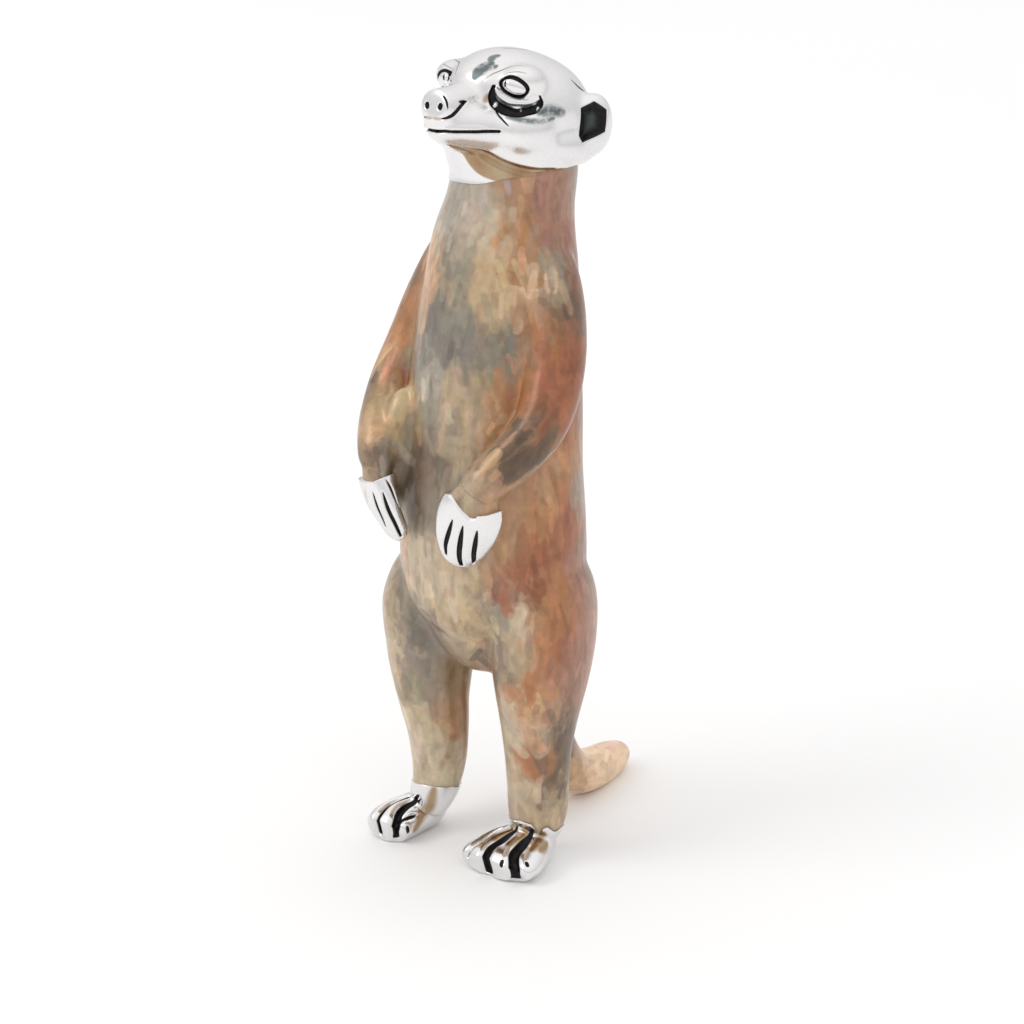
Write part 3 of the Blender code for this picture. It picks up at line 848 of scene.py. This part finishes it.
# Patches of the painted coat: colour, then place and reach of each patch.
COAT = {
    "mist": [(-1, -4, 66, 2.8), (-1.5, -8.5, 49, 1.3), (-5, -11.3, 42.7, 0.9)],
    "cream": [
        (2.2, -4.8, 63, 2.2), (-1.5, -9.9, 32.5, 2.6), (1.5, -9.9, 31, 2.2), (-9, -6, 20.5, 2.2),
        (7.4, -6.6, 27.5, 1.8), (6.5, -5.4, 16, 1.8), (5.2, -4, 9.2, 1.8), (-5.8, -4.4, 9.5, 2.8),
    ],
    "straw": [
        (3.2, -5.5, 60, 1.7), (3.8, -5.9, 57.2, 1.8), (-5.3, -7.9, 47.6, 1.3), (3.3, -7.4, 25.5, 1.5),
        (2.0, -9.0, 28, 1.6),
    ],
    # The first peach patch, on the left shoulder, is a painted highlight; the other two colour the tail.
    "peach_and_highlight": [(6.4, -2.6, 58.8, 1.3), (0.5, 15.5, 4, 5.0), (0, 20, 2.5, 3.0)],
    "sand": [
        (2.3, -8.3, 48.6, 2.2), (2.5, -8.8, 45, 2.2), (6, -12, 42, 1.6), (3.8, -9.2, 32.5, 1.8),
        (1.6, -8.9, 26.4, 1.7), (-7.8, -7, 25, 1.8), (6.6, -6.9, 23.5, 1.8), (-7.4, -6, 18, 2.0),
        (8, -2.3, 6.5, 1.5),
    ],
    "grey": [
        (0, -6, 61, 2.4), (7.5, -0.9, 59.9, 1.4), (-5.5, -6.2, 51.5, 1.8), (0.5, -9.8, 38.8, 2.4),
        (-0.9, -9.2, 45.5, 2.0), (-5.3, -6.9, 26.4, 1.9), (-5, -5.6, 19, 2.4), (5.3, -7.2, 27.4, 1.3),
        (8, 2.4, 37.5, 1.6),
    ],
    "slate": [
        (-2.8, -7.3, 53.7, 2.4), (0.8, -7.6, 54.8, 2.3), (3.8, -7, 53.3, 2.2), (5.6, -5.4, 54, 1.5),
        (-5, -6.3, 23.6, 1.9),
    ],
    "dusk": [
        (9, -0.6, 57, 1.9), (-6, -11.9, 42.7, 0.9), (-2.6, -9.2, 41.5, 2.2), (0, -9.6, 41.4, 1.8),
        (-2, -9.6, 38, 1.7), (4.3, -6.4, 23.3, 1.5), (9.3, -2.8, 15.2, 1.5), (8.8, -1.7, 10.7, 1.7),
        (-1.3, -8.9, 26.2, 1.0), (-9.3, -7.7, 47.6, 0.8),
    ],
    "umber": [(9.9, -8.1, 46.5, 1.4), (9.2, -9.4, 44.4, 1.1)],
    "olive": [
        (4.4, -7.2, 49.6, 1.4), (-8.3, -8.4, 47, 1.2), (-4.5, -9.3, 44, 1.5), (-3.2, -2.7, 18.5, 1.6),
    ],
    "tan": [
        (4.2, -3.6, 66.8, 1.6), (4.6, -4.2, 60.9, 1.3), (6.4, -3.5, 56.6, 1.7), (6.7, -4.7, 52.2, 1.4),
        (7.7, -11.1, 41.2, 1.3), (7.4, -5, 40.7, 2.0), (6.5, -6.9, 35.5, 2.0), (-3.5, -2.6, 12.5, 2.0),
        (8.2, -2.8, 41.5, 1.6),
    ],
    "apricot": [
        (-3.9, -5.2, 59.5, 2.0), (-4.4, -5.9, 55.8, 1.7), (-8.4, -5.8, 50.7, 1.4),
        (-6.3, -10.6, 44.6, 1.4), (5.2, -7.4, 45, 1.6), (7.2, -11.2, 43.7, 1.2), (-4.9, -8.5, 31.7, 1.7),
        (8.3, -4.8, 17, 1.6), (1.8, 10.5, 5, 2.5),
    ],
    "orange": [
        (5.2, -2.8, 62.5, 1.8), (7.6, -3.7, 55, 1.4), (-7.7, -4.6, 53.4, 2.0), (6.2, -5.8, 48, 1.8),
        (8.4, -0.7, 42, 2.0), (8.1, -4, 37.2, 2.0), (9.3, -4.8, 26.6, 2.0), (8.2, -5.7, 20, 1.7),
        (7.6, -3.8, 12, 1.7), (9.8, -2.6, 29, 1.8),
    ],
    "rust": [
        (9.6, -4, 53, 2.4), (10.4, -2.5, 49, 2.4), (-6.7, -5.6, 49, 1.4), (8.2, -4.1, 32, 2.6),
        (7.4, -5.6, 30.6, 1.8), (9, 0, 34, 3.0), (7, 4, 56, 4.0), (10, -2.8, 24.6, 1.8), (8, 4, 48, 3.2),
    ],
    "mauve": [
        (6, 1.7, 65, 3.2), (6.5, -6.8, 30.1, 1.2), (10.4, -0.8, 23.5, 2.2), (9.5, 1.5, 27, 2.0),
        (10, -3, 20.5, 1.4), (8.5, 0.5, 31, 1.6),
    ],
}
# Bands of the same colours on the sides that are out of sight: the colours from the
# top down, the first band's place, the step to the next one and the reach of each.
BACK = "rust mauve dusk tan orange grey rust umber tan mauve dusk orange".split()
BANDS = [
    (BACK, (0, 8.5, 67), (0, 0, -4.2), 3.4),
    (BACK[7:] + BACK[:7], (-5.5, 6, 67), (0, 0, -4.2), 3.4),
    (BACK[5:] + BACK[:5], (5.5, 6, 67), (0, 0, -4.2), 3.4),
    ("orange dusk tan rust apricot grey tan".split(), (-8.5, 0.5, 62), (0, 0, -7), 3.0),
    ("tan sand mauve dusk".split(), (0, 5.5, 22), (0, 1.2, -4.5), 2.8),
]


def coat_patches():
    """Every patch of the coat: places, reaches and colours."""
    rows = [(*patch, *PALETTE[name]) for name, patches in COAT.items() for patch in patches]
    for names, first, step, reach in BANDS:
        for k, name in enumerate(names):
            place = [start + k * move for start, move in zip(first, step)]
            rows.append((*place, reach, *PALETTE[name]))
    rows = np.array(rows)
    return rows[:, :3], rows[:, 3], rows[:, 4:]


def coat_colour(places):
    """The colour of the coat at each place: nearby patches, softly run together."""
    total = np.zeros((len(places), 3))
    weight = np.zeros(len(places))
    for spot, reach, colour in zip(*coat_patches()):
        gap = (places - spot) * np.array([1, 1, 0.85])
        near = np.exp(-2.0 * (gap ** 2).sum(axis=1) / reach ** 2) / reach
        near += 1e-4 * np.exp(-np.linalg.norm(gap, axis=1) / 3)
        total += near[:, None] * colour
        weight += near
    return total / weight[:, None]


LIMB_REACH = (2.6, 4.2)     # strokes follow a limb up to the first of these distances


def flow(places):
    """The way the brush runs: down the body, and along the arms and the tail."""
    direction = np.zeros_like(places)
    direction[:, 2] = 1
    for rows in (ARM_LEFT, ARM_RIGHT, TAIL):
        line = np.array([row[:3] for row in spline([list(row) for row in rows], 4)])
        steps = np.gradient(line, axis=0)
        steps /= np.linalg.norm(steps, axis=1)[:, None]
        gaps = np.linalg.norm(places[:, None, :] - line[None, :, :], axis=2)
        nearest = gaps.argmin(axis=1)
        weight = (1 - smoothstep(*LIMB_REACH, gaps.min(axis=1)))[:, None]
        along = steps[nearest] * np.sign(steps[nearest][:, 2:3] + 1e-6)
        direction = direction * (1 - weight) + along * weight
    return direction


# Layers of brush strokes: how many, half length, half width, cover, drift of the
# colour's place, brightness and how far the brightness varies.
BRUSHES = [
    (1300, 2.2, 0.90, 0.85, 1.0, 1.00, 0.08),
    (2600, 1.4, 0.50, 0.75, 0.8, 1.00, 0.12),
    (1000, 1.1, 0.30, 0.50, 0.6, 0.70, 0.12),
    (900, 1.1, 0.30, 0.50, 0.6, 1.28, 0.12),
]
SIZES = (0.6, 1.4)      # the least and the greatest share of a brush's size
COVERS = (0.4, 1.0)     # and of its cover
SWAY = 0.28             # how far a stroke leaves the way the brush runs
BEND = 0.35             # and how far it bends
TINT_DRIFT = 0.035      # how far each stroke's red, green and blue vary
STROKE_RELIEF = 0.012   # height of the strokes in the enamel
RICHNESS = 1.10         # how much stronger the fired colours are than the palette's
DEPTH = 0.9             # and how much darker


def stroke(random, tree, places, normals, pick, way, length, width):
    """The points under one brush stroke round the point `pick`, and its cover there."""
    normal = normals[pick]
    way = way - normal * way.dot(normal) + random.normal(0, SWAY, 3)
    way -= normal * way.dot(normal)
    way /= np.linalg.norm(way) + 1e-9
    across = np.cross(normal, way)
    half = length * random.uniform(*SIZES)
    wide = width * random.uniform(*SIZES)
    found = tree.find_range(Vector(places[pick]), half)
    index = np.array([item[1] for item in found])
    gap = places[index] - places[pick]
    a = gap @ way / half
    b = gap @ across / wide + BEND * a * a * random.uniform(-1, 1)
    inside = np.abs(a) ** 4 + np.abs(b) ** 3
    facing = normals[index] @ normal > 0.2
    return index, (1 - smoothstep(0.6, 1.0, inside)) * facing


def paint(obj):
    """Lays overlapping brush strokes over the skin, each of one colour."""
    random = np.random.default_rng(7)
    places = read(obj, "co")
    normals = read(obj, "normal")
    tree = kdtree.KDTree(len(places))
    for i, place in enumerate(places):
        tree.insert(place, i)
    tree.balance()
    colour = coat_colour(places)
    relief = np.zeros(len(places))

    for count, length, width, alpha, drift, bright, vary in BRUSHES:
        picks = random.integers(0, len(places), count)
        centres = places[picks]
        tints = coat_colour(centres + random.normal(0, drift, centres.shape))
        along = flow(centres)
        for pick, tint, way in zip(picks, tints, along):
            index, cover = stroke(random, tree, places, normals, pick, way, length, width)
            cover *= alpha * random.uniform(*COVERS)
            shade = tint * (bright * random.lognormal(0, vary)) * random.normal(1, TINT_DRIFT, 3)
            colour[index] = colour[index] * (1 - cover[:, None]) + shade * cover[:, None]
            relief[index] += cover * random.uniform(-1, 1)

    fire(obj, colour)
    write(obj, places + normals * (STROKE_RELIEF * np.tanh(relief))[:, None])


def fire(obj, colour):
    """Makes the colours richer and deeper and stores them on the skin."""
    grey = colour.mean(axis=1)[:, None]
    rgba = np.ones((len(colour), 4), dtype=np.float32)
    rgba[:, :3] = np.clip((grey + (colour - grey) * RICHNESS) * DEPTH, 0.01, 0.95)
    layer = obj.data.color_attributes.new("paint", "FLOAT_COLOR", "POINT")
    layer.data.foreach_set("color", rgba.ravel())


def collar(x, y):
    """The height of the lower edge of the head's silver."""
    height, rise = COLLAR
    return height + rise * x + COLLAR_WAVE * np.sin(0.9 * x + 0.6 * y)


TUCK_RUN = (0.1, 0.7)   # the thinning starts and ends this far inside the silver
NECK_TUCK = 1.4         # the neck is thinned by this many times as much
FOOT_REACH = 5.5        # what lies this close to an ankle belongs to that leg


def tuck_in(body):
    """Thins the enamel where the silver head and feet cover it."""
    places = read(body, "co")
    normals = read(body, "normal")
    x, y, z = places.T
    depth = NECK_TUCK * smoothstep(*TUCK_RUN, z - collar(x, y))
    for side, form in FEET.items():
        close = np.hypot(x - form["ankle"][0], y - form["ankle"][1]) < FOOT_REACH
        depth += smoothstep(*TUCK_RUN, foot_border(side)(x, y) - z) * close
    places -= normals * (UNDER_SILVER * depth)[:, None]
    places[:, 2] = np.maximum(places[:, 2], 0)
    write(body, places)


def make_enamel():
    """One enamel skin over the neck, trunk, arms, legs and tail."""
    bm = bmesh.new()
    loft(bm, TRUNK)
    loft(bm, TAIL)
    loft(bm, ARM_RIGHT)
    loft(bm, ARM_LEFT)
    loft(bm, HAND_RIGHT[:3], HAND_SIDES["right"], grow=-UNDER_SILVER)
    loft(bm, HAND_LEFT[:3], HAND_SIDES["left"], grow=-UNDER_SILVER)
    loft(bm, LEG_RIGHT, leg_side(-LEG_TURN))
    loft(bm, LEG_LEFT, leg_side(LEG_TURN))
    ball(bm, *WEB)
    body = skinned("body_enamel", bm, ENAMEL_VOXEL, BLEND)
    paint(body)
    tuck_in(body)
    limbs = [
        f"{part}_{side}"
        for part in ("upper_arm", "forearm", "thigh", "shank")
        for side in ("left", "right")
    ]
    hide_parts("neck", "trunk", "tail", *limbs)
    return body


# ------------ materials

def new_material(name):
    material = bpy.data.materials.new(name)
    material.use_nodes = True
    tree = material.node_tree
    return material, tree, tree.nodes["Principled BSDF"]


def node(tree, kind, **settings):
    """A new node; each setting is a link or a value for a socket, or a property."""
    made = tree.nodes.new(kind)
    for key, value in settings.items():
        if isinstance(value, bpy.types.NodeSocket):
            tree.links.new(value, made.inputs[key])
        elif key in made.inputs:
            made.inputs[key].default_value = value
        else:
            setattr(made, key, value)
    return made


def mix(tree, factor, low, high, kind="RGBA", blend="MIX"):
    """A Mix node; low, high and factor are sockets or values."""
    made = tree.nodes.new("ShaderNodeMix")
    made.data_type = kind
    if kind == "RGBA":
        made.blend_type = blend
    first, second, result = {"RGBA": (6, 7, 2), "FLOAT": (2, 3, 0)}[kind]
    for value, place in ((factor, 0), (low, first), (high, second)):
        socket = made.inputs[place]
        if isinstance(value, bpy.types.NodeSocket):
            tree.links.new(value, socket)
        else:
            socket.default_value = (*value, 1) if isinstance(value, tuple) else value
    return made.outputs[result]


def noise(tree, scale, detail, roughness=0.55, stretch=(1, 1, 1)):
    """Noise over the object's own place; scale is in waves to a metre."""
    place = node(tree, "ShaderNodeTexCoord").outputs["Object"]
    place = node(tree, "ShaderNodeMapping", Vector=place, Scale=stretch).outputs["Vector"]
    grain = {"Scale": scale, "Detail": detail, "Roughness": roughness}
    return node(tree, "ShaderNodeTexNoise", Vector=place, **grain).outputs["Fac"]


def ramp(tree, value, low, high):
    """The value stretched so that low becomes 0 and high becomes 1."""
    span = {"From Min": low, "From Max": high}
    return node(tree, "ShaderNodeMapRange", Value=value, **span).outputs["Result"]


def clouds(tree, scale, low, high, one, other):
    """Two colours that run together in soft clouds."""
    return mix(tree, ramp(tree, noise(tree, scale, 3), low, high), one, other)


def product(tree, first, second):
    made = node(tree, "ShaderNodeMath", operation="MULTIPLY")
    tree.links.new(first, made.inputs[0])
    tree.links.new(second, made.inputs[1])
    return made.outputs[0]


def attribute(tree, name, output="Fac"):
    return node(tree, "ShaderNodeAttribute", attribute_name=name).outputs[output]


def bump(tree, height, distance, strength, under=None):
    lower = {"Normal": under} if under else {}
    made = node(tree, "ShaderNodeBump", Height=height, Distance=distance, Strength=strength, **lower)
    return made.outputs["Normal"]


def silver_material(name, polish):
    """Polished silver, black where the engraver cut, dull where it has tarnished, brown where small marks
    and painted reflections of the enamel are laid.
    """
    material, tree, shader = new_material(name)
    oxide = ramp(tree, attribute(tree, "oxide"), -SOFT_EDGE, SOFT_EDGE)
    line = ramp(tree, attribute(tree, "line"), -SOFT_EDGE, SOFT_EDGE)
    patch = ramp(tree, noise(tree, 1100, 5, 0.65), 0.26, 0.5)
    dull = product(tree, attribute(tree, "tarnish"), patch)
    # Brown: small marks, and the painted reflection of the brown enamel under the jaw and on the toes.
    brown = product(tree, attribute(tree, "brown_and_reflection"), ramp(tree, noise(tree, 500, 3), 0.1, 0.35))
    bright = clouds(tree, 260, 0.35, 0.75, (0.82, 0.805, 0.80), (0.76, 0.755, 0.76))
    black = clouds(tree, 2400, 0.4, 0.8, (0.004, 0.0035, 0.005), (0.016, 0.015, 0.016))
    black = mix(tree, dull, black, (0.05, 0.06, 0.058))
    engraved = mix(tree, line, bright, (0.30, 0.20, 0.15))
    umber = clouds(tree, 330, 0.35, 0.65, (0.44, 0.34, 0.22), (0.34, 0.205, 0.115))
    filmed_and_reflected = mix(tree, brown, engraved, umber)
    filmed_and_reflected = mix(tree, dull, filmed_and_reflected, (0.15, 0.18, 0.18))
    tree.links.new(mix(tree, oxide, filmed_and_reflected, black), shader.inputs["Base Color"])
    sheen = mix(tree, ramp(tree, noise(tree, 1500, 4), 0.3, 0.8), polish, polish * 1.4, "FLOAT")
    rough = mix(tree, dull, sheen, 0.45, "FLOAT")
    tree.links.new(mix(tree, oxide, rough, 0.42, "FLOAT"), shader.inputs["Roughness"])
    tree.links.new(mix(tree, oxide, 1.0, 0.0, "FLOAT"), shader.inputs["Metallic"])
    shader.inputs["Specular IOR Level"].default_value = 0.2
    hammered = bump(tree, noise(tree, 420, 2, 0.5), 0.0002, 0.3)
    tree.links.new(bump(tree, noise(tree, 5200, 3), 0.00003, 0.07, hammered), shader.inputs["Normal"])
    return material


def enamel_material():
    """Translucent painted enamel: brushed colour under a thick clear glaze."""
    material, tree, shader = new_material("enamel")
    streaks = noise(tree, 1400, 4, 0.6, (1, 1, 0.22))
    mottle = noise(tree, 900, 3, 0.5)
    painted = attribute(tree, "paint", "Color")
    toned = mix(tree, 0.14, painted, ramp(tree, streaks, 0.15, 0.85), blend="OVERLAY")
    toned = mix(tree, 0.14, toned, ramp(tree, mottle, 0.25, 0.75), blend="OVERLAY")
    tree.links.new(toned, shader.inputs["Base Color"])
    shader.inputs["Metallic"].default_value = 0.25
    shader.inputs["Roughness"].default_value = 0.36
    shader.inputs["Specular IOR Level"].default_value = 0.3
    shader.inputs["Coat Weight"].default_value = 0.32
    shader.inputs["Coat Roughness"].default_value = 0.08
    shader.inputs["Coat IOR"].default_value = 1.4
    wavy = bump(tree, noise(tree, 300, 2, 0.45), 0.00025, 0.25)
    tree.links.new(wavy, shader.inputs["Coat Normal"])
    tree.links.new(bump(tree, streaks, 0.00006, 0.5, wavy), shader.inputs["Normal"])
    return material


def floor_material():
    material, tree, shader = new_material("floor")
    tone = mix(tree, ramp(tree, noise(tree, 3, 2), 0.3, 0.7), (0.94, 0.94, 0.94), (0.965, 0.965, 0.96))
    tree.links.new(tone, shader.inputs["Base Color"])
    shader.inputs["Roughness"].default_value = 0.6
    shader.inputs["Specular IOR Level"].default_value = 0.2
    return material


# ------------ stage

CAMERA_AZIMUTH = 38.0
CAMERA_DISTANCE = 300.0
CAMERA_RISE = 26.0      # elevation of the camera seen from the floor under it
CAMERA_TARGET = (1.009, 0.788, 34.7)    # in the figurine's own frame
CAMERA_LENS = 105.1
CAMERA_SENSOR = 36.0
FLOOR_RADIUS = 3.0      # these in metres
KEY_PLACE = (-0.30, -0.50, 0.55)
KEY_AIM = (0, 0, 0.04)
KEY_SIZE = 0.35
KEY_WATTS = 1.1
SKY_STRENGTH = 1.12


def make_camera(shift):
    """The camera, aimed at the middle of the figurine."""
    azimuth = math.radians(CAMERA_AZIMUTH)
    rise = math.radians(CAMERA_RISE)
    out = Vector((
        math.sin(azimuth) * math.cos(rise), -math.cos(azimuth) * math.cos(rise), math.sin(rise),
    )) * CAMERA_DISTANCE
    target = Vector(CAMERA_TARGET)
    data = bpy.data.cameras.new("camera")
    data.sensor_width = CAMERA_SENSOR
    data.lens = CAMERA_LENS
    data.clip_start = 0.01
    data.clip_end = 20
    camera = add_object("camera", data)
    camera.location = (out + shift) * MM
    camera.rotation_euler = (target - out).to_track_quat("-Z", "Y").to_euler()
    bpy.context.scene.camera = camera


def make_key_light():
    """A soft square lamp in front of the figurine, to its right and above it."""
    data = bpy.data.lights.new("key", "AREA")
    data.shape = "RECTANGLE"
    data.size = KEY_SIZE
    data.size_y = KEY_SIZE
    data.energy = KEY_WATTS
    light = add_object("key", data)
    light.location = KEY_PLACE
    light.rotation_euler = (Vector(KEY_AIM) - Vector(KEY_PLACE)).to_track_quat("-Z", "Y").to_euler()


def make_floor():
    bm = bmesh.new()
    bmesh.ops.create_circle(bm, cap_ends=True, segments=96, radius=FLOOR_RADIUS)
    floor = add_mesh("floor", bm)
    floor.data.materials.append(floor_material())


def make_sky():
    """Plain soft light from all round, a little brighter from above."""
    world = bpy.data.worlds.new("studio")
    world.use_nodes = True
    tree = world.node_tree
    place = node(tree, "ShaderNodeTexCoord").outputs["Generated"]
    height = node(tree, "ShaderNodeSeparateXYZ", Vector=place).outputs["Z"]
    height = ramp(tree, height, 0.0, 0.9)
    glow = mix(tree, height, (0.64, 0.64, 0.655), (1.0, 0.995, 0.99))
    tree.links.new(glow, tree.nodes["Background"].inputs["Color"])
    tree.nodes["Background"].inputs["Strength"].default_value = SKY_STRENGTH
    bpy.context.scene.world = world
    bpy.context.scene.view_settings.view_transform = "Standard"


# ------------ assembly

def frame_shift():
    """From the figurine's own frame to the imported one, in millimetres, by its eyes."""
    corners = [Vector(corner) for name in ("eye_left", "eye_right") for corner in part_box(name)]
    middle = sum(corners, Vector()) / len(corners) / MM
    return middle - HEAD_PLACE @ Vector((0, *EYE_CENTRE[1:]))


def settle(obj, shift, material):
    """Moves a finished skin onto the frame and gives it its look."""
    obj.data.transform(Matrix.Scale(MM * SHRINK, 4) @ Matrix.Translation(shift))
    write(obj, np.clip(read(obj, "co"), *CAD_BOX))
    obj.data.materials.clear()
    obj.data.materials.append(material)
    obj.data.polygons.foreach_set("material_index", [0] * len(obj.data.polygons))
    obj.data.shade_smooth()
    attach(obj, "root")


def main():
    shift = frame_shift()
    make_floor()
    make_sky()
    make_key_light()
    make_camera(shift)
    silver = silver_material("silver", 0.14)
    satin = silver_material("satin_silver", 0.24)
    enamel = enamel_material()
    settle(make_enamel(), shift, enamel)
    settle(make_head(), shift, satin)
    settle(make_hand("left", HAND_LEFT, ARM_LEFT), shift, satin)
    settle(make_hand("right", HAND_RIGHT, ARM_RIGHT), shift, satin)
    for side, form in FEET.items():
        settle(make_foot(side, form), shift, silver)
    for side, place in EYE_PLACES.items():
        settle(make_eye(side, place), shift, silver)


main()
